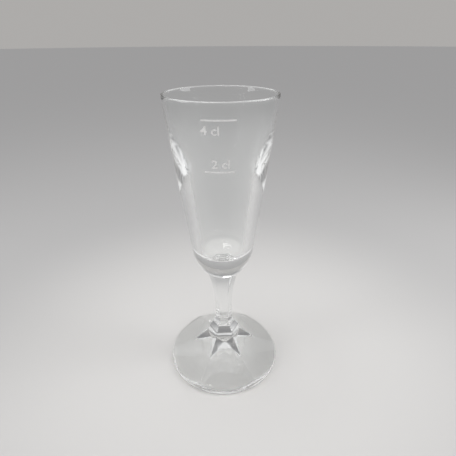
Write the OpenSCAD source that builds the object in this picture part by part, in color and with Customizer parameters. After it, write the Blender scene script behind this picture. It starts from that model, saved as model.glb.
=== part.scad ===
// Stemmed spirit measure in clear glass, with fill lines for two and four centilitres.
// Millimetres, +Z up. The origin is the centre of the foot's resting face, and the fill lines face -Y.

/* [Bowl] */
// Height of the rim above the table
rim_h = 131.5; // [126:0.5:138]
// Outer diameter of the rim
rim_d = 44; // [42:0.5:48]
// Thickness of the wall at the rim
rim_wall = 1.1; // [0.8:0.1:1.6]
// Height of the shoulder, where the wall turns in under the bowl
shoulder_h = 65; // [62:0.5:67]
// Outer diameter of the bowl at the shoulder
shoulder_d = 27.4; // [26.4:0.2:29]
// How far the wall bows out from a straight cone
wall_bow = 0.25; // [0:0.05:0.5]

/* [Inside of the bowl] */
// Thickness of the glass under the liquid, down to the joint with the stem
base_glass = 8.5; // [6.5:0.1:11]
// Inner diameter where the wall meets the rounded floor
floor_d = 18.5; // [17:0.1:20]
// Height of the rounding between floor and wall
floor_round = 4.5; // [3:0.1:6]
// Slope of the inner wall just above the floor, as width over height
floor_slope = 0.11; // [0.07:0.01:0.14]
// Slope of the inner wall at the rim, as width over height
rim_slope = 0.1; // [0.06:0.01:0.18]
// Length over which the slope at the floor holds the wall's curve
floor_pull = 48; // [36:1:54]
// Length over which the slope at the rim holds the wall's curve
rim_pull = 28; // [20:1:40]

/* [Fill lines] */
// Volume under the lower fill line, in millilitres
lower_fill = 20; // [15:1:25]
// Volume under the upper fill line, in millilitres
upper_fill = 40; // [30:1:44]
// Angle that each line covers round the bowl
line_angle = 32; // [20:1:90]
// Height of the printed stroke
line_w = 0.55; // [0.3:0.05:1]
// Thickness of the fired enamel
enamel = 0.1; // [0.05:0.05:0.3]

/* [Stem] */
// Height of the joint between stem and bowl
joint_h = 54; // [51:0.5:55.5]
// Diameter of that joint
joint_d = 16.8; // [15:0.2:18.4]
// Height of the stem's narrowest place
waist_h = 31; // [28:0.5:34]
// Distance across two opposite flats at the narrowest place
waist_flats = 6.9; // [6:0.1:8.4]
// Length over which the waist runs straight upwards
waist_pull_up = 8.2; // [5:0.1:10]
// Length over which the flare under the bowl holds its slope
top_pull = 4.4; // [2:0.1:6]
// Slope of the flare under the bowl, as width over height
top_slope = 0.5; // [0.2:0.02:0.6]
// Length over which the waist runs straight downwards
waist_pull_down = 4.2; // [2:0.1:5.6]
// Height of the collar, where the stem meets the foot
collar_h = 21.8; // [21:0.1:24]
// Distance across two opposite flats at the collar
collar_flats = 8.8; // [8:0.1:9.8]
// Slope of the flats just above the collar, as width over height
collar_slope = 0.3; // [0.1:0.02:0.5]
// Length over which the flats hold that slope
collar_pull = 3.4; // [2:0.1:4.2]
// Turn of the ridges from the middle of the fill lines
ridge_turn = 5; // [0:1:29]
// How much is worn off each sharp ridge
ridge_soft = 0.2; // [0.1:0.05:0.4]

/* [Root of the stem in the foot] */
// Height at which the root stops spreading and turns down
ledge_h = 19.2; // [18.8:0.1:20.2]
// Distance across two opposite flats at that height
ledge_flats = 13.4; // [12.8:0.1:14.4]
// Height at which the root is well under the panels
root_h = 11.2; // [10:0.1:12.5]
// Distance across two opposite flats there
root_flats = 15.4; // [14.6:0.2:17]
// Height at which the six arms leave the root
arm_h = 17; // [16:0.1:18]
// Distance across two opposite arms at that height
arm_span = 15.8; // [14.8:0.2:16.6]
// Slope of the arms, as height over width
arm_slope = 1.02; // [0.95:0.01:1.15]
// Angle of an arm's point, seen from above
arm_angle = 70; // [64:1:90]

/* [Foot] */
// Diameter of the foot
foot_d = 55; // [52:0.5:60]
// Thickness of the foot's edge in the middle of a panel
edge_h = 2.4; // [2:0.1:3]
// Slope of the panels at the edge, as height over width
edge_slope = 0.36; // [0.3:0.01:0.48]
// Length over which the panels hold that slope
edge_pull = 8; // [4:0.2:12]
// Distance across two opposite panels where they go under the root
panel_flats = 12; // [10:0.2:14]
// Height of the panels there
panel_h = 14.9; // [13:0.1:16]
// Slope of the panels there, as height over width
panel_slope = 0.94; // [0.8:0.01:1.05]
// Length over which the panels hold that slope
panel_pull = 5; // [3:0.2:7]
// Radius of the rounding under the edge
lip_r = 1.1; // [0.6:0.1:1.5]
// How far the edge leans in on its way up to the ridges
edge_in = 2.6; // [2:0.2:4]
// How high that lean reaches above the rounding
edge_up = 5; // [4.4:0.2:6]
// Inner diameter of the ring that the foot rests on
rest_inner_d = 45; // [38:0.5:47]
// Height of the hollow inside that ring
hollow_h = 0.9; // [0.4:0.1:1.4]

/* [Hidden] */

$fn = 128;
sides = 6;
wall_steps = 12;
base_steps = 10;
floor_steps = 10;
curve_steps = 20;
rim_steps = 8;
print_side = -90;

rim_r = rim_d / 2;
foot_r = foot_d / 2;
joint_r = joint_d / 2;
floor_h = joint_h + base_glass;
ridge_ratio = 1 / cos(180 / sides);
rim_end = [rim_r, rim_h - rim_wall / 2];
shoulder = [shoulder_d / 2, shoulder_h];
waist = [waist_flats / 2, waist_h];

// Point at the share t of a cubic curve with the four control points p
function bezier(p, t) =
    pow(1 - t, 3) * p[0] + 3 * pow(1 - t, 2) * t * p[1] + 3 * (1 - t) * t * t * p[2] + pow(t, 3) * p[3];

// Points along that curve, the first one left out
function curve(p, steps) = [for (i = [1:steps]) bezier(p, i / steps)];

// Direction of the vector v, in degrees
function heading(v) = atan2(v[1], v[0]);

// Points of the circular arc that leaves a in the direction given and ends at b, the first one left out
function arc(a, direction, b, steps) =
    let (swing = heading(b - a) - direction)
    [for (i = [1:steps])
        let (turned = swing * i / steps, share = abs(swing) < 0.01 ? i / steps : sin(turned) / sin(swing))
        a + norm(b - a) * share * [cos(direction + turned), sin(direction + turned)]];

function sum(values) = values * [for (v = values) 1];
function flip(points) = [for (i = [len(points) - 1:-1:0]) points[i]];

// Outside of the bowl, from the shoulder up to the rim: one shallow arc
wall_chord = rim_end - shoulder;
wall_swing = 2 * atan(2 * wall_bow / norm(wall_chord));
outer_wall = concat([shoulder], arc(shoulder, heading(wall_chord) - wall_swing, rim_end, wall_steps));

// Underside of the bowl, from the shoulder down to the joint: an arc that carries on from the wall
base_curve = arc(shoulder, heading(wall_chord) - wall_swing - 180, [joint_r, joint_h], base_steps);

// Inside of the bowl, from the middle of the floor up to the rim
floor_edge = [floor_d / 2, floor_h + floor_round];
bore_end = [rim_r - rim_wall, rim_h - rim_wall / 2];
bore_floor = [for (i = [0:floor_steps])
    let (a = 90 * i / floor_steps) [floor_edge[0] * sin(a), floor_h + floor_round * (1 - cos(a))]];
bore_wall = curve([floor_edge,
                   floor_edge + floor_pull * [floor_slope, 1],
                   bore_end - rim_pull * [rim_slope, 1],
                   bore_end], curve_steps);
bore = concat(bore_floor, bore_wall);

// Half circle over the rim, from the outside to the inside
rim_round = [for (i = [1:rim_steps - 1])
    let (a = 180 * i / rim_steps) [rim_r - rim_wall / 2, rim_end[1]] + rim_wall / 2 * [cos(a), sin(a)]];

// Volume inside the bowl up to the height z, as a stack of cone slices
function bore_r(z) = lookup(z, [for (p = bore) [p[1], p[0]]]);
function slice(low, high) =
    PI / 3 * (high - low) * (pow(bore_r(low), 2) + bore_r(low) * bore_r(high) + pow(bore_r(high), 2));
function volume_to(z) = sum([for (i = [1:len(bore) - 1]) slice(min(z, bore[i - 1][1]), min(z, bore[i][1]))]);

// Height to which a volume in millilitres fills the bowl, by halving the span that holds it
function fill_height(ml, low = floor_h, high = rim_h, tries = 30) =
    let (middle = (low + high) / 2)
    tries == 0 ? middle
    : volume_to(middle) < ml * 1000 ? fill_height(ml, middle, high, tries - 1)
    : fill_height(ml, low, middle, tries - 1);

// Outer radius of the wall at the height z
function wall_r(z) = lookup(z, [for (p = outer_wall) [p[1], p[0]]]);

// Middle line of a flat of the horn, from its root in the foot up to the bowl: distance from the axis, height
root = [root_flats / 2, root_h];
ledge = [ledge_flats / 2, ledge_h];
collar = [collar_flats / 2, collar_h];
collar_flat = flip(curve([waist,
                          waist - waist_pull_down * [0, 1],
                          collar + collar_pull * [-collar_slope, 1],
                          collar], curve_steps));
stem_top = [joint_r / ridge_ratio, joint_h];
stem_flat = curve([waist,
                   waist + waist_pull_up * [0, 1],
                   stem_top - top_pull * [top_slope, 1],
                   stem_top], curve_steps);
flats = concat([root, ledge], collar_flat, [waist], stem_flat);

// Middle line of a panel of the foot, from the edge up to the place where it goes under the root
panel_top = [panel_flats / 2, panel_h];
panel_edge = [foot_r, edge_h];
panel_line = concat([panel_edge],
                    curve([panel_edge,
                           panel_edge + edge_pull * [-1, edge_slope],
                           panel_top + panel_pull * [1, -panel_slope],
                           panel_top], curve_steps));

// Edge of the foot in section: rounded under, then leaning in until it stands above the ridges
edge_low = [foot_r, lip_r];
edge_top = edge_low + [-edge_in, edge_up];
foot_edge = concat(
    [for (i = [0:rim_steps]) let (a = 90 * i / rim_steps) edge_low + [lip_r * (sin(a) - 1), -lip_r * cos(a)]],
    curve([edge_low,
           edge_low + [0, edge_up / 3],
           edge_low + [-edge_in / 3, edge_up / 2],
           edge_top], curve_steps));

// Prism through the axis, with the section drawn in it and one side facing the direction turn
reach = foot_r * pow(ridge_ratio, 2);
module across(turn) {
    rotate([0, 0, ridge_turn + turn + 90])
        rotate([90, 0, 0])
            linear_extrude(height = 2 * reach, center = true)
                children();
}

// Solid between two equal sides that face each other, each given by its middle line from the bottom up
module between_flats(side, turn) {
    across(turn)
        polygon(concat(side, [for (p = flip(side)) [-p[0], p[1]]]));
}

// Solid behind one straight side, which leans from its foot up to its top
module behind(foot, top, turn) {
    across(turn)
        polygon([foot, top, [-reach, top[1]], [-reach, foot[1]]]);
}

// Six-sided horn of stem and root: three pairs of flats, and three pairs that take off the ridges
module horn() {
    ridges = [for (p = flats) [p[0] * ridge_ratio - ridge_soft, p[1]]];
    intersection_for(i = [0:sides / 2 - 1])
        intersection() {
            between_flats(concat([[root[0], 0]], flats), i * 360 / sides);
            between_flats(concat([[ridges[0][0], 0]], ridges), (i + 0.5) * 360 / sides);
        }
}

// Six shallow panels that carry the horn's flats out to the edge of the foot
module panels() {
    intersection_for(i = [0:sides / 2 - 1])
        between_flats(concat([[foot_r, 0]], panel_line), i * 360 / sides);
}

// Six arms that run out from the ridges of the root: two sets of three points, turned against each other
module arms() {
    lean = 90 - arm_angle / 2;
    top = [arm_span / 2 * cos(lean), arm_h];
    foot = [(arm_span / 2 + arm_h / arm_slope) * cos(lean), 0];
    for (first = [0.5, 1.5])
        intersection_for(i = [first:2:sides])
            intersection() {
                behind(foot, top, i * 360 / sides - lean);
                behind(foot, top, i * 360 / sides + lean);
            }
}

module bowl() {
    color([0.86, 0.93, 0.93, 0.35])
        rotate_extrude()
            polygon(concat([[0, joint_h]], flip(base_curve), outer_wall, rim_round, flip(bore)));
}

module stem() {
    color([0.86, 0.93, 0.93, 0.35])
        intersection() {
            horn();
            translate([0, 0, collar_h])
                cylinder(r = foot_r, h = joint_h - collar_h);
        }
}

module foot() {
    rest_inner_r = rest_inner_d / 2;
    color([0.86, 0.93, 0.93, 0.35])
        intersection() {
            union() {
                horn();
                panels();
                arms();
            }
            rotate_extrude()
                polygon(concat([for (i = [0:floor_steps])
                                    let (s = i / floor_steps) [rest_inner_r * s, hollow_h * (1 - s * s)]],
                               foot_edge,
                               [[edge_top[0], collar_h], [0, collar_h]]));
        }
}

// Enamel stroke on the outside of the bowl, at the height of a volume
module fill_line(ml) {
    low = fill_height(ml) - line_w / 2;
    high = low + line_w;
    heights = concat([low], [for (p = outer_wall) if (p[1] > low && p[1] < high) p[1]], [high]);
    color([0.95, 0.94, 0.92])
        rotate([0, 0, print_side - line_angle / 2])
            rotate_extrude(angle = line_angle)
                polygon(concat([for (z = heights) [wall_r(z), z]],
                               [for (z = flip(heights)) [wall_r(z) + enamel, z]]));
}

module fill_line_2cl() { fill_line(lower_fill); }

module fill_line_4cl() { fill_line(upper_fill); }

bowl();
stem();
foot();
fill_line_2cl();
fill_line_4cl();
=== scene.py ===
"""Stemmed measuring glass, dressed and lit for its picture.

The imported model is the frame. Bowl, stem and foot get finer skins of the same shapes, because clear glass
shows every facet of what lies behind it. The fired fill lines stay as they are and get their enamel, and the
figures beside them are laid on the wall here. The glass is worked out in millimetres, the studio in metres.
"""
import logging
import math
from dataclasses import dataclass, field
from enum import Enum

import bpy
from mathutils import Matrix, Vector


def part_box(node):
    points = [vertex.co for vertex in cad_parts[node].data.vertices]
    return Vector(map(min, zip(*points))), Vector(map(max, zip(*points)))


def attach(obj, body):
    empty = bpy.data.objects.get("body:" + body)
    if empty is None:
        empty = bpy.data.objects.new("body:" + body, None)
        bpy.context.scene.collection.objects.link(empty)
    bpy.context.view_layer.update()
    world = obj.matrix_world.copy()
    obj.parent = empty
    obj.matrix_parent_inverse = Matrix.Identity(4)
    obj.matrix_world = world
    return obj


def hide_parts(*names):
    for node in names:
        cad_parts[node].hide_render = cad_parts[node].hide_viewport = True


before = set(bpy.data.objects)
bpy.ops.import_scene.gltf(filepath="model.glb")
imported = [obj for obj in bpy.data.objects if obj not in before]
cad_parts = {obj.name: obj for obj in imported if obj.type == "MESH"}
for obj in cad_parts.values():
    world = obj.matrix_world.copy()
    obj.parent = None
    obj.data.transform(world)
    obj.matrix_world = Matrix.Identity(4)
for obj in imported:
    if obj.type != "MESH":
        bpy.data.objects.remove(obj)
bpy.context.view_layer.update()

MM = 0.001  # a millimetre, in metres
BODY = "root"  # the frame's one body
SIDES = 6  # sides of the horn, and sectors that make up a skin
PRINT_SIDE = -90.0  # heading of the print round the axis, in degrees
SEAM_GAP = 0.01  # what keeps two fused faces apart, in millimetres
NEARLY_STRAIGHT = 1e-4  # swing in radians below which an arc is drawn as a line
DRIFT_SPAN = (0.35, 0.75)  # part of the drift's mask that a roughness is spread over
LOG = logging.getLogger("measuring_glass")

Point = tuple[float, float]
Column = tuple[float, list[Point]]
Span = tuple[float, float]
Colour = tuple[float, float, float]
Place = tuple[float, float, float]
NodeValue = bpy.types.NodeSocket | float | str | tuple[float, ...]


class Spread(Enum):
    """How the columns of a sector are spread over its angle."""

    EVEN = "even"
    TO_RIDGES = "to_ridges"


class Beside(Enum):
    """On which side of its line a figure stands."""

    ABOVE = "above"
    BELOW = "below"


class Ease(Enum):
    """How a ramp goes from one end to the other."""

    EVEN = "LINEAR"
    SOFT = "SMOOTHSTEP"
    SOFTER = "SMOOTHERSTEP"


# Curves in section


def bezier(pulls: list[Point], share: float) -> Point:
    """Point at one share of a cubic curve.

    Args:
        pulls: The four points that shape the curve.
        share: The share, from 0 to 1.

    Returns:
        The point.
    """
    rest = 1 - share
    weights = (rest ** 3, 3 * rest ** 2 * share, 3 * rest * share * share, share ** 3)
    across = sum(weight * pull[0] for weight, pull in zip(weights, pulls))
    height = sum(weight * pull[1] for weight, pull in zip(weights, pulls))
    return across, height


def curve(start: Point, leave: Point, end: Point, arrive: Point, steps: int) -> list[Point]:
    """Points of a cubic curve between two ends.

    Args:
        start: Where the curve starts. This point is left out.
        leave: Where its second shaping point lies, seen from the start.
        end: Where it ends.
        arrive: Where its third shaping point lies, seen from the end.
        steps: How many points it gets.

    Returns:
        The points, up to the end.
    """
    pulls = [start, (start[0] + leave[0], start[1] + leave[1]), (end[0] + arrive[0], end[1] + arrive[1]), end]
    return [bezier(pulls, i / steps) for i in range(1, steps + 1)]


def arc(start: Point, direction: float, end: Point, steps: int) -> list[Point]:
    """Points of the circular arc that leaves one point in a direction and ends at another.

    Args:
        start: Where the arc starts. This point is left out.
        direction: Its heading there, in radians.
        end: Where it ends.
        steps: How many points it gets.

    Returns:
        The points, up to the end.
    """
    run = (end[0] - start[0], end[1] - start[1])
    swing = (math.atan2(run[1], run[0]) - direction + math.pi) % (2 * math.pi) - math.pi
    chord = math.hypot(*run)
    points = []
    for i in range(1, steps + 1):
        turned = swing * i / steps
        share = i / steps if abs(swing) < NEARLY_STRAIGHT else math.sin(turned) / math.sin(swing)
        points.append((start[0] + chord * share * math.cos(direction + turned),
                       start[1] + chord * share * math.sin(direction + turned)))
    return points


def scoop(lowest: Point, width: float, height: float, steps: int) -> list[Point]:
    """Points of a quarter of an ellipse that rises outwards from its lowest point.

    Args:
        lowest: The lowest point, which comes first.
        width: How far the quarter reaches outwards.
        height: How far it rises.
        steps: How many steps it gets.

    Returns:
        The points, both ends among them.
    """
    turns = [math.pi / 2 * i / steps for i in range(steps + 1)]
    return [(lowest[0] + width * math.sin(turn), lowest[1] + height * (1 - math.cos(turn))) for turn in turns]


def spaced(start: float, end: float, steps: int) -> list[float]:
    """Evenly spaced values up to an end, the start left out."""
    return [start + (end - start) * i / steps for i in range(1, steps + 1)]


def at_height(points: list[Point], z: float) -> float:
    """Distance from the axis that a line of points has at one height.

    Args:
        points: The line, which rises or falls all the way.
        z: The height.

    Returns:
        The distance. Past its ends the line is carried on straight.
    """
    rising = points[-1][1] > points[0][1]
    low, high = 0, len(points) - 1
    while high - low > 1:
        middle = (low + high) // 2
        if (points[middle][1] < z) == rising:
            low = middle
        else:
            high = middle
    (r0, z0), (r1, z1) = points[low], points[high]
    return r0 + (r1 - r0) * (z - z0) / (z1 - z0)


def six_sided(flat: float, off_middle: float, sharpness: float) -> float:
    """Radius of a six-sided outline with worn ridges.

    Args:
        flat: Distance of its flats from the axis.
        off_middle: Angle from the middle of the nearest flat, in radians.
        sharpness: How little the ridges are worn.

    Returns:
        The radius.
    """
    here = flat / math.cos(off_middle)
    beside = flat / math.cos(2 * math.pi / SIDES - abs(off_middle))
    return (here ** -sharpness + beside ** -sharpness) ** (-1 / sharpness)


def outermost(radii: list[float], fillet: float) -> float:
    """Greatest of several radii, with a fillet where two of them cross."""
    top = max(radii)
    return top + fillet * math.log(sum(math.exp((r - top) / fillet) for r in radii))


# Meshes and objects


def add_object(name: str, data: bpy.types.ID) -> bpy.types.Object:
    """Adds an object to the scene.

    Args:
        name: Its name.
        data: Its mesh, text, lamp or camera.

    Returns:
        The object, at the origin.
    """
    added = bpy.data.objects.new(name, data)
    bpy.context.collection.objects.link(added)
    return added


def final_mesh(source: bpy.types.Object) -> bpy.types.Mesh:
    """Takes the mesh that an object ends up with, and removes the object.

    Args:
        source: The object, with its modifiers.

    Returns:
        The plain mesh.
    """
    bpy.context.view_layer.update()
    mesh = bpy.data.meshes.new_from_object(source.evaluated_get(bpy.context.evaluated_depsgraph_get()))
    bpy.data.objects.remove(source)
    return mesh


def sector_mesh(name: str, columns: list[Column], fused_start: bool, fused_end: bool) -> bpy.types.Mesh:
    """One sector of a glass skin, as a grid of columns that share their two ends on the axis.

    Args:
        name: Name of the mesh.
        columns: For each column its angle in radians and its points, from the axis to the axis.
        fused_start: Whether the faces at the start of the columns lie in a joint between two pieces.
        fused_end: Whether the faces at their end do.

    Returns:
        The open mesh, with the joints marked in the attribute "seam".
    """
    start, end = columns[0][1][0], columns[0][1][-1]
    inner = len(columns[0][1]) - 2
    verts = [(0.0, 0.0, start[1] * MM)]
    for angle, points in columns:
        verts += [(r * math.cos(angle) * MM, r * math.sin(angle) * MM, z * MM) for r, z in points[1:-1]]
    verts.append((0.0, 0.0, end[1] * MM))
    faces, fused = [], []
    for j in range(len(columns) - 1):
        here, there = 1 + j * inner, 1 + (j + 1) * inner
        faces.append((0, there, here))
        faces += [(here + i, there + i, there + i + 1, here + i + 1) for i in range(inner - 1)]
        faces.append((here + inner - 1, there + inner - 1, len(verts) - 1))
        fused += [fused_start] + [False] * (inner - 1) + [fused_end]
    mesh = bpy.data.meshes.new(name)
    mesh.from_pydata(verts, [], faces)
    mesh.attributes.new("seam", "BOOLEAN", "FACE").data.foreach_set("value", fused)
    mesh.update()
    return mesh


def settle(piece: bpy.types.Object, slot: str, *nodes: str) -> bpy.types.Object:
    """Hangs a finished piece on the frame's body and hides the CAD nodes that it stands for.

    Args:
        piece: The piece.
        slot: The record's material slot. Not used.
        nodes: The CAD nodes that the piece replaces.

    Returns:
        The piece.
    """
    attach(piece, BODY)
    if nodes:
        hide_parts(*nodes)
    LOG.info("%s: %d faces", piece.name, len(piece.data.polygons))
    return piece


# Node trees


def new_group(name: str, kind: str, inputs: dict[str, str], outputs: dict[str, str]) -> bpy.types.NodeTree:
    """Adds an empty node group.

    Args:
        name: Its name.
        kind: Its type in Blender.
        inputs: The name and the type of each input.
        outputs: The name and the type of each output.

    Returns:
        The group.
    """
    tree = bpy.data.node_groups.new(name, kind)
    for way, sockets in (("INPUT", inputs), ("OUTPUT", outputs)):
        for socket, sort in sockets.items():
            tree.interface.new_socket(socket, in_out=way, socket_type="NodeSocket" + sort)
    return tree


def feed(node: bpy.types.Node, inputs: dict[str | int, NodeValue]) -> None:
    """Sets or links the inputs of a node.

    Args:
        node: The node.
        inputs: For each input its value, or the socket that it comes from.
    """
    for name, value in inputs.items():
        if isinstance(value, bpy.types.NodeSocket):
            node.id_data.links.new(value, node.inputs[name])
        else:
            node.inputs[name].default_value = value


def add_node(tree: bpy.types.NodeTree, kind: str, inputs: dict[str | int, NodeValue],
             **settings: str | bpy.types.NodeTree) -> bpy.types.Node:
    """Adds a node to a tree.

    Args:
        tree: The tree.
        kind: The node's type in Blender.
        inputs: For each input its value, or the socket that it comes from.
        settings: The node's own settings, made before its inputs.

    Returns:
        The node.
    """
    node = tree.nodes.new(kind)
    for name, value in settings.items():
        setattr(node, name, value)
    feed(node, inputs)
    return node


def calculate(tree: bpy.types.NodeTree, operation: str, *values: NodeValue) -> bpy.types.NodeSocket:
    """Adds one step of arithmetic to a tree, and gives the socket with its result."""
    return add_node(tree, "ShaderNodeMath", dict(enumerate(values)), operation=operation).outputs[0]


def ramp(tree: bpy.types.NodeTree, value: bpy.types.NodeSocket, span: Span, ease: Ease = Ease.SOFT,
         ends: Span = (0.0, 1.0)) -> bpy.types.NodeSocket:
    """Turns a value into one that goes from end to end while the value crosses a span.

    Args:
        tree: The tree that gets the node.
        value: Where the value comes from.
        span: The span.
        ease: How the result goes from one end to the other.
        ends: The two ends.

    Returns:
        A socket with the result.
    """
    inputs = {"Value": value, "From Min": span[0], "From Max": span[1], "To Min": ends[0], "To Max": ends[1]}
    return add_node(tree, "ShaderNodeMapRange", inputs, interpolation_type=ease.value).outputs[0]


def opaque(colour: Colour) -> tuple[float, float, float, float]:
    """Colour as a socket wants it, with full cover."""
    return (*colour, 1.0)


def blend(tree: bpy.types.NodeTree, share: bpy.types.NodeSocket, first: NodeValue,
          second: NodeValue) -> bpy.types.NodeSocket:
    """Goes from one colour to another by a share, and gives the socket with the result."""
    mix = add_node(tree, "ShaderNodeMix", {"Factor": share, "A": first, "B": second}, data_type="RGBA")
    return mix.outputs["Result"]


@dataclass
class RoundRepeat:
    """Geometry Nodes tree that repeats a sector round the axis and closes it into one solid.

    Attributes:
        weld: Distance in millimetres within which the edges of two sectors become one.
        tree: The tree.
    """

    weld: float = 0.0005
    tree: bpy.types.NodeTree = field(init=False)

    def __post_init__(self) -> None:
        """Makes the tree."""
        self.tree = new_group(
            "repeat_round_the_axis", "GeometryNodeTree",
            {"Sector": "Geometry", "Sides": "Int", "Weld": "Float", "Glass": "Material", "Seam": "Material"},
            {"Solid": "Geometry"})
        given = add_node(self.tree, "NodeGroupInput", {}).outputs
        points = add_node(self.tree, "GeometryNodePoints", {"Count": given["Sides"]})
        index = add_node(self.tree, "GeometryNodeInputIndex", {})
        step = calculate(self.tree, "DIVIDE", 2 * math.pi, given["Sides"])
        angle = calculate(self.tree, "MULTIPLY", index.outputs[0], step)
        turn = add_node(self.tree, "ShaderNodeCombineXYZ", {"Z": angle})
        place = add_node(self.tree, "GeometryNodeInstanceOnPoints",
                         {"Points": points.outputs[0], "Instance": given["Sector"],
                          "Rotation": turn.outputs[0]})
        real = add_node(self.tree, "GeometryNodeRealizeInstances", {0: place.outputs[0]})
        weld = add_node(self.tree, "GeometryNodeMergeByDistance",
                        {"Geometry": real.outputs[0], "Distance": given["Weld"]})
        seam = add_node(self.tree, "GeometryNodeInputNamedAttribute", {"Name": "seam"},
                        data_type="BOOLEAN").outputs["Attribute"]
        outside = add_node(self.tree, "FunctionNodeBooleanMath", {0: seam}, operation="NOT")
        smooth = add_node(self.tree, "GeometryNodeSetShadeSmooth",
                          {"Geometry": weld.outputs[0], "Shade Smooth": outside.outputs[0]})
        clear = add_node(self.tree, "GeometryNodeSetMaterial",
                         {"Geometry": smooth.outputs[0], "Material": given["Glass"]})
        fused = add_node(self.tree, "GeometryNodeSetMaterial",
                         {"Geometry": clear.outputs[0], "Selection": seam, "Material": given["Seam"]})
        add_node(self.tree, "NodeGroupOutput", {0: fused.outputs[0]})

    def solid(self, name: str, sector: bpy.types.Mesh, glass: bpy.types.Material,
              seam: bpy.types.Material) -> bpy.types.Object:
        """Repeats one sector into a closed piece of glass.

        Args:
            name: Name of the piece.
            sector: The open sector of its skin.
            glass: Finish of the outside.
            seam: Finish of the faces that are melted to the next piece.

        Returns:
            The piece, as a plain mesh at the origin.
        """
        source = add_object(name + "_sector", sector)
        repeat = source.modifiers.new("repeat", "NODES")
        repeat.node_group = self.tree
        values = {"Sides": SIDES, "Weld": self.weld * MM, "Glass": glass, "Seam": seam}
        for item in self.tree.interface.items_tree:
            if item.in_out == "INPUT" and item.name in values:
                repeat[item.identifier] = values[item.name]
        mesh = final_mesh(source)
        mesh.name = name
        return add_object(name, mesh)


# Finishes


def surface_drift() -> bpy.types.NodeTree:
    """Node group for the slow drift of a hot-worked surface, used by glass and enamel.

    Returns:
        The group, with the inputs Size and Stretch and the outputs Mask and Height.
    """
    name = "surface_drift"
    if name in bpy.data.node_groups:
        return bpy.data.node_groups[name]
    tree = new_group(name, "ShaderNodeTree", {"Size": "Float", "Stretch": "Vector"},
                     {"Mask": "Float", "Height": "Float"})
    given = add_node(tree, "NodeGroupInput", {}).outputs
    place = add_node(tree, "ShaderNodeTexCoord", {})
    pull = add_node(tree, "ShaderNodeVectorMath", {0: place.outputs["Object"], 1: given["Stretch"]},
                    operation="MULTIPLY")
    where = {"Vector": pull.outputs[0], "Scale": given["Size"]}
    haze = add_node(tree, "ShaderNodeTexNoise", {**where, "Detail": 5.0, "Roughness": 0.6})
    wave = add_node(tree, "ShaderNodeTexNoise", {**where, "Detail": 1.0})
    add_node(tree, "NodeGroupOutput", {"Mask": haze.outputs[0], "Height": wave.outputs[0]})
    return tree


def new_material(name: str) -> tuple[bpy.types.Material, bpy.types.Node]:
    """Adds a material.

    Args:
        name: Its name.

    Returns:
        The material and its shader.
    """
    material = bpy.data.materials.new(name)
    material.use_nodes = True
    return material, material.node_tree.nodes["Principled BSDF"]


@dataclass(frozen=True)
class Finish:
    """What the finishes of a hot-worked surface are made from.

    Attributes:
        name: Name of the material.
        ior: Index of refraction.
        roughness: Roughness at the two ends of the drift's mask.
        drift_size: Scale of the drift, finer where it is greater.
        drift_stretch: Factor on that scale along each axis.
        ripple: Strength of the ripple, from 0 to 1.
        ripple_depth: Depth of the ripple, in millimetres.
    """

    name: str
    ior: float
    roughness: Span
    drift_size: float
    drift_stretch: tuple[float, float, float]
    ripple: float
    ripple_depth: float

    def start(self) -> tuple[bpy.types.Material, bpy.types.Node, bpy.types.NodeSocket]:
        """Makes the material with its drift of roughness and its faint ripple.

        Returns:
            The material, its shader and the socket with the drift's mask.
        """
        material, shader = new_material(self.name)
        tree = material.node_tree
        drift = add_node(tree, "ShaderNodeGroup", {"Size": self.drift_size, "Stretch": self.drift_stretch},
                         node_tree=surface_drift()).outputs
        waves = {"Strength": self.ripple, "Distance": self.ripple_depth * MM, "Height": drift["Height"]}
        bump = add_node(tree, "ShaderNodeBump", waves)
        roughness = ramp(tree, drift["Mask"], DRIFT_SPAN, Ease.EVEN, self.roughness)
        feed(shader, {"IOR": self.ior, "Roughness": roughness, "Normal": bump.outputs[0]})
        return material, shader, drift["Mask"]


@dataclass(frozen=True)
class ClearGlass(Finish):
    """Clear glass, fire-polished, with a breath of haze."""

    tint: Colour = (0.995, 1.0, 0.998)
    hazed: Colour = (0.98, 0.99, 0.988)

    def material(self) -> bpy.types.Material:
        """Makes the glass.

        Returns:
            The material.
        """
        material, shader, mask = self.start()
        colour = blend(material.node_tree, mask, opaque(self.tint), opaque(self.hazed))
        feed(shader, {"Base Color": colour, "Transmission Weight": 1.0})
        return material


@dataclass(frozen=True)
class FusedSeam:
    """Faces inside the glass, where two pieces are melted together and light goes straight on."""

    name: str = "fused_seam"
    ior: float = 1.001
    tint: Colour = (1.0, 1.0, 1.0)

    def material(self) -> bpy.types.Material:
        """Makes the seam.

        Returns:
            The material.
        """
        material, shader = new_material(self.name)
        feed(shader, {"Base Color": opaque(self.tint), "Transmission Weight": 1.0, "Roughness": 0.0,
                      "IOR": self.ior})
        return material


@dataclass(frozen=True)
class Enamel(Finish):
    """Fired white enamel, a little thinner in places."""

    thin: Colour = (0.80, 0.79, 0.775)
    thick: Colour = (0.93, 0.925, 0.91)
    thinning: Span = (0.34, 0.52)

    def material(self) -> bpy.types.Material:
        """Makes the enamel.

        Returns:
            The material.
        """
        material, shader, mask = self.start()
        cover = add_node(material.node_tree, "ShaderNodeValToRGB", {0: mask})
        for stop, position, colour in zip(cover.color_ramp.elements, self.thinning, (self.thin, self.thick)):
            stop.position = position
            stop.color = opaque(colour)
        feed(shader, {"Base Color": cover.outputs[0]})
        return material


BLOWN = ClearGlass("clear_glass", ior=1.52, roughness=(0.0, 0.012), drift_size=60.0,
                   drift_stretch=(1.0, 1.0, 0.35), ripple=0.04, ripple_depth=0.25)
PRESSED = ClearGlass("clear_glass_pressed", ior=1.52, roughness=(0.0, 0.02), drift_size=140.0,
                     drift_stretch=(1.0, 1.0, 1.0), ripple=0.08, ripple_depth=0.25)
WHITE = Enamel("enamel", ior=1.5, roughness=(0.28, 0.45), drift_size=900.0,
               drift_stretch=(1.0, 1.0, 1.0), ripple=0.3, ripple_depth=0.02)


# The glass


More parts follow.
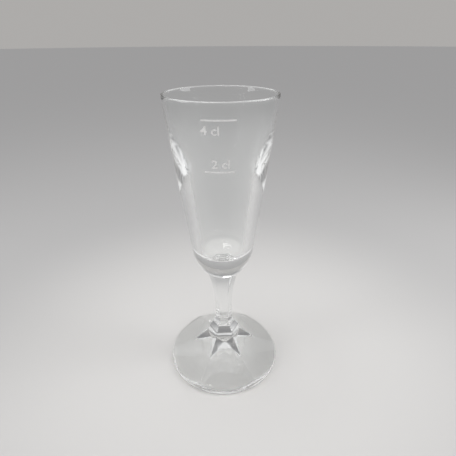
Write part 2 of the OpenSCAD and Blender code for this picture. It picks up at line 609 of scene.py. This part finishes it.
@dataclass
class Horn:
    """The six-sided horn that stem and foot share, given by the middle line of one flat.

    A name that ends in h is a height above the table, in d a diameter, and in flats a width across flats. A
    pull is how far the shaping point at the end of a curve lies from that end, along the axis or across it,
    and a slope how far it lies the other way for each millimetre of that.
    """

    joint_h: float = 54.0
    joint_d: float = 16.8
    waist_h: float = 31.0
    waist_flats: float = 6.9
    waist_pull_up: float = 8.2
    top_pull: float = 4.4
    top_slope: float = 0.5
    waist_pull_down: float = 4.2
    collar_h: float = 21.8
    collar_flats: float = 8.8
    collar_slope: float = 0.3
    collar_pull: float = 3.4
    ridge_turn: float = 5.0
    ledge_h: float = 19.2
    ledge_flats: float = 13.4
    root_h: float = 11.2
    root_flats: float = 15.4
    ridge_sharpness: float = 46.0
    steps: int = 200
    upper: list[Point] = field(init=False)
    lower: list[Point] = field(init=False)

    def __post_init__(self) -> None:
        """Works out the line above the waist and the line below it."""
        waist = (self.waist_flats / 2, self.waist_h)
        top = (self.joint_d / 2 * math.cos(math.pi / SIDES), self.joint_h)
        collar = (self.collar_flats / 2, self.collar_h)
        to_top = (-self.top_slope * self.top_pull, -self.top_pull)
        to_collar = (-self.collar_slope * self.collar_pull, self.collar_pull)
        self.upper = [waist, *curve(waist, (0.0, self.waist_pull_up), top, to_top, self.steps)]
        self.lower = [waist, *curve(waist, (0.0, -self.waist_pull_down), collar, to_collar, self.steps)]
        self.lower += [(self.ledge_flats / 2, self.ledge_h), (self.root_flats / 2, self.root_h)]

    def radius(self, z: float, off_middle: float) -> float:
        """Radius of the horn at a height, with its ridges worn a little round."""
        flat = at_height(self.upper if z > self.waist_h else self.lower, z)
        return six_sided(flat, off_middle, self.ridge_sharpness)


@dataclass
class GlassPiece:
    """A piece of clear glass, whose skin is one sector repeated round the axis.

    Attributes:
        horn: The horn that it belongs to.
        node: The CAD node that it replaces.
        sector_steps: How many steps a sector has round the axis.
        spread: How the columns are spread over them.
        fused_start: Whether the piece is melted to another where its columns start.
        fused_end: Whether it is where they end.
        slot: The record's material slot.
    """

    horn: Horn
    node: str
    sector_steps: int = 64
    spread: Spread = Spread.TO_RIDGES
    fused_start: bool = True
    fused_end: bool = True
    slot: str = "clear_glass"

    def section(self, off_middle: float) -> list[Point]:
        """Points of one column, from the axis to the axis, which each piece draws in its own way."""
        raise NotImplementedError

    def columns(self) -> list[Column]:
        """Draws the columns of the sector round the middle of one flat.

        Returns:
            For each column its angle round the axis, in radians, and its points.
        """
        middle, half = math.radians(PRINT_SIDE + self.horn.ridge_turn), math.pi / SIDES
        drawn = []
        for i in range(self.sector_steps + 1):
            share = 2 * i / self.sector_steps - 1
            off_middle = half * (share if self.spread is Spread.EVEN else math.sin(math.pi / 2 * share))
            drawn.append((middle + off_middle, self.section(off_middle)))
        return drawn

    def build(self, repeat: RoundRepeat, glass: bpy.types.Material,
              seam: bpy.types.Material) -> bpy.types.Object:
        """Builds the piece.

        Args:
            repeat: The tree that closes the sector round the axis.
            glass: Finish of the outside.
            seam: Finish of the joints.

        Returns:
            The piece.
        """
        sector = sector_mesh(self.node + "_sector", self.columns(), self.fused_start, self.fused_end)
        piece = repeat.solid(self.node + "_glass", sector, glass, seam)
        return settle(piece, self.slot, self.node)


@dataclass
class Stem(GlassPiece):
    """Six-sided stem, from the collar up to the bowl."""

    sector_steps: int = 56
    steps: int = 64

    def section(self, off_middle: float) -> list[Point]:
        """Draws one column, from the axis at the collar to the axis at the joint.

        Args:
            off_middle: Angle from the middle of the flat, in radians.

        Returns:
            The points.
        """
        low, high = self.horn.collar_h + SEAM_GAP, self.horn.joint_h
        side = [(self.horn.radius(z, off_middle), z) for z in [low, *spaced(low, high, self.steps)]]
        return [(0.0, low), *side, (0.0, high)]


@dataclass
class Foot(GlassPiece):
    """Round foot: the horn's root, six shallow panels, six arms on the ridges and a rounded edge.

    The height at which the round of the edge meets a panel is looked for in the span search, by halving it,
    and the panel's fall there is taken over the length probe. A part of the foot with the radius hidden_r is
    out of sight inside the horn. Of the steps up the foot, the share knee_share lies below knee_h.
    """

    fused_start: bool = False
    foot_d: float = 55.0
    edge_h: float = 2.4
    edge_slope: float = 0.36
    edge_pull: float = 8.0
    panel_flats: float = 12.0
    panel_h: float = 14.9
    panel_slope: float = 0.94
    panel_pull: float = 5.0
    panel_sharpness: float = 90.0
    arm_h: float = 17.0
    arm_span: float = 15.8
    arm_slope: float = 1.02
    arm_angle: float = 70.0
    hidden_r: float = 0.5
    fillet: float = 0.1
    lip_r: float = 1.1
    edge_round: float = 1.3
    round_rise: float = 0.55
    round_pull: float = 0.8
    probe: float = 0.01
    search: Span = (0.5, 16.0)
    halvings: int = 40
    rest_inner_d: float = 45.0
    hollow_h: float = 0.9
    knee_h: float = 15.2
    knee_share: float = 0.82
    steps: int = 130
    panel_steps: int = 300
    hollow_steps: int = 13
    lip_steps: int = 8
    round_steps: int = 14
    panel: list[Point] = field(init=False)

    def __post_init__(self) -> None:
        """Works out the middle line of a panel."""
        edge = (self.foot_d / 2, self.edge_h)
        top = (self.panel_flats / 2, self.panel_h)
        from_edge = (-self.edge_pull, self.edge_slope * self.edge_pull)
        to_top = (self.panel_pull, -self.panel_slope * self.panel_pull)
        self.panel = [edge, *curve(edge, from_edge, top, to_top, self.panel_steps)]

    def panel_r(self, z: float, off_middle: float) -> float:
        """Radius of the panels at a height, their ridges kept sharp."""
        flat = max(at_height(self.panel, z), self.hidden_r)
        return six_sided(flat, off_middle, self.panel_sharpness)

    def arm_r(self, z: float, off_middle: float) -> float:
        """Radius of the arms, whose sides lean away from their ridge.

        Args:
            z: Height.
            off_middle: Angle from the middle of the flat, in radians.

        Returns:
            The radius. Above the arms it is too small to show.
        """
        if z > self.arm_h:
            return self.hidden_r
        lean = math.radians(90 - self.arm_angle / 2)
        side = (self.arm_span / 2 + (self.arm_h - z) / self.arm_slope) * math.cos(lean)
        ridges = (math.pi / SIDES - abs(off_middle), math.pi / SIDES + abs(off_middle))
        return outermost([side / math.cos(lean - ridge) for ridge in ridges], self.fillet)

    def radius(self, z: float, off_middle: float) -> float:
        """Radius of the top of the foot at a height."""
        parts = [self.horn.radius(z, off_middle), self.panel_r(z, off_middle), self.arm_r(z, off_middle)]
        return outermost(parts, self.fillet)

    def height(self, r: float, off_middle: float) -> float:
        """Looks for the height at which the top of the foot has a given radius.

        Args:
            r: The radius.
            off_middle: Angle from the middle of the flat, in radians.

        Returns:
            The height.
        """
        low, high = self.search
        for _ in range(self.halvings):
            middle = (low + high) / 2
            if self.radius(middle, off_middle) > r:
                low = middle
            else:
                high = middle
        return (low + high) / 2

    def underside(self) -> list[Point]:
        """Draws the underside.

        Returns:
            The points, from the middle of the hollow to the widest place of the foot.
        """
        rest_r, lip = self.rest_inner_d / 2, self.foot_d / 2 - self.lip_r
        hollow = [(rest_r * i / self.hollow_steps, self.hollow_h * (1 - (i / self.hollow_steps) ** 2))
                  for i in range(self.hollow_steps + 1)]
        ring = ((rest_r + lip) / 2, 0.0)
        return [*hollow, ring, *scoop((lip, 0.0), self.lip_r, self.lip_r, self.lip_steps)]

    def edge(self, off_middle: float) -> list[Point]:
        """Draws the round of the edge.

        Args:
            off_middle: Angle from the middle of the flat, in radians.

        Returns:
            The points, from above the widest place to where the round meets the panel.
        """
        r = self.foot_d / 2 - self.edge_round
        z = self.height(r, off_middle)
        fall = (self.radius(z - self.probe, off_middle) - self.radius(z, off_middle), -self.probe)
        length = math.hypot(*fall)
        rise = (0.0, self.round_rise * (z - self.lip_r))
        lean = (self.round_pull * fall[0] / length, self.round_pull * fall[1] / length)
        return curve((self.foot_d / 2, self.lip_r), rise, (r, z), lean, self.round_steps)

    def section(self, off_middle: float) -> list[Point]:
        """Draws one column, from the middle of the hollow underside to the axis at the collar.

        Args:
            off_middle: Angle from the middle of the flat, in radians.

        Returns:
            The points.
        """
        outline = self.underside() + self.edge(off_middle)
        low = round(self.steps * self.knee_share)
        heights = spaced(outline[-1][1], self.knee_h, low)
        heights += spaced(self.knee_h, self.horn.collar_h, self.steps - low)
        return [*outline, *((self.radius(z, off_middle), z) for z in heights), (0.0, self.horn.collar_h)]


@dataclass
class Bowl(GlassPiece):
    """Conical bowl with a thick base and a thin rim."""

    sector_steps: int = 52
    spread: Spread = Spread.EVEN
    fused_end: bool = False
    rim_h: float = 131.5
    rim_d: float = 44.0
    rim_wall: float = 1.1
    shoulder_h: float = 65.0
    shoulder_d: float = 27.4
    wall_bow: float = 0.25
    base_glass: float = 8.5
    floor_d: float = 18.5
    floor_round: float = 4.5
    floor_slope: float = 0.11
    rim_slope: float = 0.1
    floor_pull: float = 48.0
    rim_pull: float = 28.0
    wall_steps: int = 48
    under_steps: int = 28
    lip_steps: int = 12
    bore_steps: int = 64
    floor_steps: int = 26
    wall: list[Point] = field(init=False)
    under: list[Point] = field(init=False)
    bore: list[Point] = field(init=False)

    def __post_init__(self) -> None:
        """Works out the wall, the underside and the bore in section."""
        rim = (self.rim_d / 2, self.rim_h - self.rim_wall / 2)
        shoulder = (self.shoulder_d / 2, self.shoulder_h)
        joint = (self.horn.joint_d / 2, self.horn.joint_h)
        run = (rim[0] - shoulder[0], rim[1] - shoulder[1])
        heading = math.atan2(run[1], run[0]) - 2 * math.atan(2 * self.wall_bow / math.hypot(*run))
        self.wall = [shoulder, *arc(shoulder, heading, rim, self.wall_steps)]
        self.under = arc(shoulder, heading - math.pi, joint, self.under_steps)[::-1]
        floor = self.horn.joint_h + self.base_glass
        edge = (self.floor_d / 2, floor + self.floor_round)
        inner_rim = (rim[0] - self.rim_wall, rim[1])
        self.bore = scoop((0.0, floor), edge[0], self.floor_round, self.floor_steps)
        self.bore += curve(edge, (self.floor_pull * self.floor_slope, self.floor_pull),
                           inner_rim, (-self.rim_pull * self.rim_slope, -self.rim_pull), self.bore_steps)

    def section(self, off_middle: float) -> list[Point]:
        """Draws one column, from the axis at the joint, round the rim, to the middle of the floor.

        Args:
            off_middle: Angle from the middle of the flat, in radians.

        Returns:
            The points.
        """
        rim_r, half = self.rim_d / 2, self.rim_wall / 2
        turns = [math.pi * i / self.lip_steps for i in range(1, self.lip_steps)]
        lip = [(rim_r - half + half * math.cos(turn), self.rim_h - half + half * math.sin(turn))
               for turn in turns]
        low = self.horn.joint_h + SEAM_GAP
        joint = [(0.0, low), (self.horn.radius(self.horn.joint_h, off_middle), low)]
        return joint + self.under + self.wall + lip + self.bore[::-1]

    def lay_on(self, across: float, z: float, proud: float) -> Vector:
        """Place on the outside of the wall.

        Args:
            across: Distance round the wall from the middle of the fill lines, rightwards.
            z: Height.
            proud: How far the place stands off the glass.

        Returns:
            The place, in metres.
        """
        r = at_height(self.wall, z) + proud
        angle = math.radians(PRINT_SIDE) + across / r
        return Vector((r * math.cos(angle), r * math.sin(angle), z)) * MM


@dataclass
class FillMark:
    """A fired fill line and the figure beside it.

    Attributes:
        node: The CAD node of the line.
        words: What the figure says.
        side: On which side of the line it stands.
        across: Where it starts, rightwards from the middle of the line.
        gap: How far it stands from the line.
        height: Its height.
        width: Its width.
        thickness: Thickness of its enamel.
        boldness: How much its strokes are widened, before it is brought to size.
        depth: How deep its letters are, before it is brought to size.
        roundness: How many steps each curve of a letter has.
        slot: The record's material slot.
    """

    node: str
    words: str
    side: Beside
    across: float
    gap: float
    height: float = 3.1
    width: float = 6.4
    thickness: float = 0.06
    boldness: float = 0.012
    depth: float = 0.5
    roundness: int = 6
    slot: str = "enamel"

    def figure(self) -> bpy.types.Mesh:
        """Makes the figure's letters, flat in the plane and in millimetres.

        Returns:
            The letters, with their lower left corner at the origin.
        """
        words = bpy.data.curves.new(self.words, "FONT")
        words.body = self.words
        words.extrude = self.depth
        words.offset = self.boldness
        words.resolution_u = self.roundness
        letters = final_mesh(add_object(self.words, words))
        low = [min(v.co[k] for v in letters.vertices) for k in range(3)]
        high = [max(v.co[k] for v in letters.vertices) for k in range(3)]
        sizes = (self.width, self.height, self.thickness)
        scale = [size / (end - start) for size, start, end in zip(sizes, low, high)]
        letters.transform(Matrix.Translation([-value for value in low]))
        letters.transform(Matrix.Diagonal((*scale, 1.0)))
        return letters

    def build(self, bowl: Bowl, enamel: bpy.types.Material) -> bpy.types.Object:
        """Dresses the line and lays the figure on the wall beside it.

        Args:
            bowl: The bowl that carries the print.
            enamel: The finish of both.

        Returns:
            The figure.
        """
        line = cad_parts[self.node]
        line.data.materials.clear()
        line.data.materials.append(enamel)
        low, high = (corner.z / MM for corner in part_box(self.node))
        base = high + self.gap if self.side is Beside.ABOVE else low - self.gap - self.height
        letters = self.figure()
        for v in letters.vertices:
            v.co = bowl.lay_on(self.across + v.co.x, base + v.co.y, v.co.z)
        letters.materials.clear()
        letters.materials.append(enamel)
        letters.update()
        return settle(add_object(self.node.replace("fill_line", "figure"), letters), self.slot)


# The studio


def seen_share(tree: bpy.types.NodeTree) -> bpy.types.NodeSocket:
    """Works out whether a ray shows the room, seen straight or in the glass, or only lights a surface.

    Args:
        tree: The tree that gets the nodes.

    Returns:
        A socket with 1 for a ray that shows the room and 0 for one that lights.
    """
    ray = add_node(tree, "ShaderNodeLightPath", {}).outputs
    half_a_bounce = 0.5
    outside = calculate(tree, "MAXIMUM", ray["Is Camera Ray"], ray["Is Glossy Ray"])
    shown = calculate(tree, "MAXIMUM", outside, ray["Is Transmission Ray"])
    unscattered = calculate(tree, "LESS_THAN", ray["Diffuse Depth"], half_a_bounce)
    return calculate(tree, "MULTIPLY", shown, unscattered)


@dataclass
class Lamp:
    """One soft box, in metres and watts."""

    name: str
    place: Place
    aim: Place
    size: tuple[float, float]
    power: float
    through_glass: bool = False

    def build(self) -> bpy.types.Object:
        """Hangs the lamp.

        Returns:
            The lamp.
        """
        light = bpy.data.lights.new(self.name, "AREA")
        light.shape = "RECTANGLE"
        light.size, light.size_y = self.size
        light.energy = self.power
        lamp = add_object(self.name, light)
        lamp.visible_transmission = self.through_glass
        lamp.location = self.place
        lamp.rotation_euler = (Vector(self.aim) - Vector(self.place)).to_track_quat("-Z", "Y").to_euler()
        return lamp


@dataclass
class Studio:
    """Pale floor with a painted pool of light round the foot, soft light and the camera of the photograph.

    Lengths are in metres and angles in degrees. A span called rise or side says where the room changes: rise
    is how far a direction looks up, and side how far it looks sideways, both from 0 to 1.
    """

    # Floor colours: a painted pool of light, pale round the foot and darker further out, in place of a lit
    # spot on the table.
    floor_in_painted_pool: Colour = (0.66, 0.65, 0.635)
    floor_past_painted_pool: Colour = (0.50, 0.495, 0.49)
    painted_pool_edge: Span = (0.035, 0.20)
    floor_r: float = 6.0
    floor_sides: int = 96
    floor_gap: float = 0.02 * MM
    floor_roughness: float = 0.9
    fill: Colour = (0.68, 0.68, 0.69)
    horizon: Colour = (0.42, 0.41, 0.40)
    walls: Colour = (0.22, 0.22, 0.225)
    wall_rise: Span = (0.07, 0.40)
    ceiling: Colour = (0.75, 0.75, 0.75)
    ceiling_rise: Span = (0.35, 0.55)
    window: Colour = (1.0, 1.0, 1.0)
    window_side: Span = (0.45, 0.85)
    window_rise: Span = (0.05, 0.30)
    eye: Place = (0.00244, -0.14014, 0.15004)
    eye_turn: float = 1.2
    pitch: float = 28.2
    roll: float = -0.30
    lens: float = 28.42
    nearest: float = 0.001
    bounces: int = 96
    diffuse_bounces: int = 12

    def floor(self) -> bpy.types.Object:
        """Lays the floor, with a pool of light painted round the foot: palest there and darker further out.

        Returns:
            The floor.
        """
        material, shader = new_material("floor_painted_pool")
        tree = material.node_tree
        place = add_node(tree, "ShaderNodeTexCoord", {})
        away = add_node(tree, "ShaderNodeVectorMath", {0: place.outputs["Object"]}, operation="LENGTH")
        # Painted pool of light: the floor's colour goes from pale round the foot to darker further out.
        pool_share = ramp(tree, away.outputs["Value"], self.painted_pool_edge, Ease.SOFTER)
        colour = blend(tree, pool_share, opaque(self.floor_in_painted_pool), opaque(self.floor_past_painted_pool))
        feed(shader, {"Base Color": colour, "Roughness": self.floor_roughness, "Specular IOR Level": 0.0})
        turns = [2 * math.pi * i / self.floor_sides for i in range(self.floor_sides)]
        verts = [(self.floor_r * math.cos(turn), self.floor_r * math.sin(turn), -self.floor_gap)
                 for turn in turns]
        mesh = bpy.data.meshes.new("floor")
        mesh.from_pydata(verts, [], [tuple(range(self.floor_sides))])
        mesh.materials.append(material)
        floor = add_object("floor", mesh)
        return floor

    def room(self, tree: bpy.types.NodeTree) -> bpy.types.NodeSocket:
        """Works out the room that the glass shows, with a bright ceiling and a soft window at either side.

        Args:
            tree: The world's tree.

        Returns:
            A socket with the colour of the room in each direction.
        """
        look = add_node(tree, "ShaderNodeTexCoord", {})
        split = add_node(tree, "ShaderNodeSeparateXYZ", {0: look.outputs["Generated"]})
        rise, side = split.outputs["Z"], calculate(tree, "ABSOLUTE", split.outputs["X"])
        window = calculate(tree, "MULTIPLY", ramp(tree, side, self.window_side),
                           ramp(tree, rise, self.window_rise))
        walls = blend(tree, ramp(tree, rise, self.wall_rise), opaque(self.horizon), opaque(self.walls))
        roofed = blend(tree, ramp(tree, rise, self.ceiling_rise), walls, opaque(self.ceiling))
        return blend(tree, window, roofed, opaque(self.window))

    def world(self) -> bpy.types.World:
        """Makes the world: the room where it is seen, and even light for the rest.

        Returns:
            The world.
        """
        world = bpy.data.worlds.new("studio")
        bpy.context.scene.world = world
        world.use_nodes = True
        tree = world.node_tree
        even = tree.nodes["Background"]
        feed(even, {"Color": opaque(self.fill)})
        seen = add_node(tree, "ShaderNodeBackground", {"Color": self.room(tree)})
        choose = add_node(tree, "ShaderNodeMixShader",
                          {0: seen_share(tree), 1: even.outputs[0], 2: seen.outputs[0]})
        feed(tree.nodes["World Output"], {"Surface": choose.outputs[0]})
        return world

    def lamps(self) -> list[bpy.types.Object]:
        """Hangs the soft boxes.

        Returns:
            The lamps.
        """
        boxes = [
            Lamp("right_box", place=(0.30, -0.02, 0.24), aim=(0.0, 0.0, 0.08), size=(0.16, 0.30), power=0.45),
            Lamp("left_box", place=(-0.32, -0.12, 0.20), aim=(0.0, 0.0, 0.08), size=(0.12, 0.26), power=0.28),
            Lamp("top_box", place=(-0.10, 0.0, 0.55), aim=(0.0, 0.0, 0.05), size=(0.20, 0.20), power=0.5,
                 through_glass=True),
        ]
        return [box.build() for box in boxes]

    def camera(self) -> bpy.types.Object:
        """Sets the camera at the photograph's place.

        Returns:
            The camera.
        """
        lens = bpy.data.cameras.new("camera")
        lens.lens = self.lens
        lens.clip_start = self.nearest
        eye = add_object("camera", lens)
        turn = Matrix.Rotation(math.radians(self.eye_turn), 4, "Z")
        tilt = Matrix.Rotation(math.radians(90 - self.pitch), 4, "X")
        roll = Matrix.Rotation(math.radians(self.roll), 4, "Z")
        eye.location = turn @ Vector(self.eye)
        eye.rotation_euler = (turn @ tilt @ roll).to_euler()
        bpy.context.scene.camera = eye
        return eye

    def build(self) -> None:
        """Sets up camera, floor, room and light."""
        self.camera()
        self.floor()
        self.world()
        self.lamps()
        scene = bpy.context.scene
        scene.view_settings.view_transform = "Standard"
        scene.cycles.max_bounces = self.bounces
        scene.cycles.transmission_bounces = self.bounces
        scene.cycles.glossy_bounces = self.bounces
        scene.cycles.diffuse_bounces = self.diffuse_bounces
        scene.cycles.sample_clamp_indirect = 0.0
        scene.cycles.blur_glossy = 0.0


def main() -> None:
    """Builds the studio and the glass, from the foot up."""
    logging.basicConfig(level=logging.INFO, format="%(name)s: %(message)s")
    Studio().build()
    blown, pressed, seam, white = (finish.material() for finish in (BLOWN, PRESSED, FusedSeam(), WHITE))
    horn, repeat = Horn(), RoundRepeat()
    Foot(horn, "foot").build(repeat, pressed, seam)
    Stem(horn, "stem").build(repeat, pressed, seam)
    bowl = Bowl(horn, "bowl")
    bowl.build(repeat, blown, seam)
    FillMark("fill_line_4cl", "4 cl", Beside.BELOW, across=-6.3, gap=1.6).build(bowl, white)
    FillMark("fill_line_2cl", "2 cl", Beside.ABOVE, across=-2.8, gap=1.2).build(bowl, white)


if __name__ == "__main__":
    main()
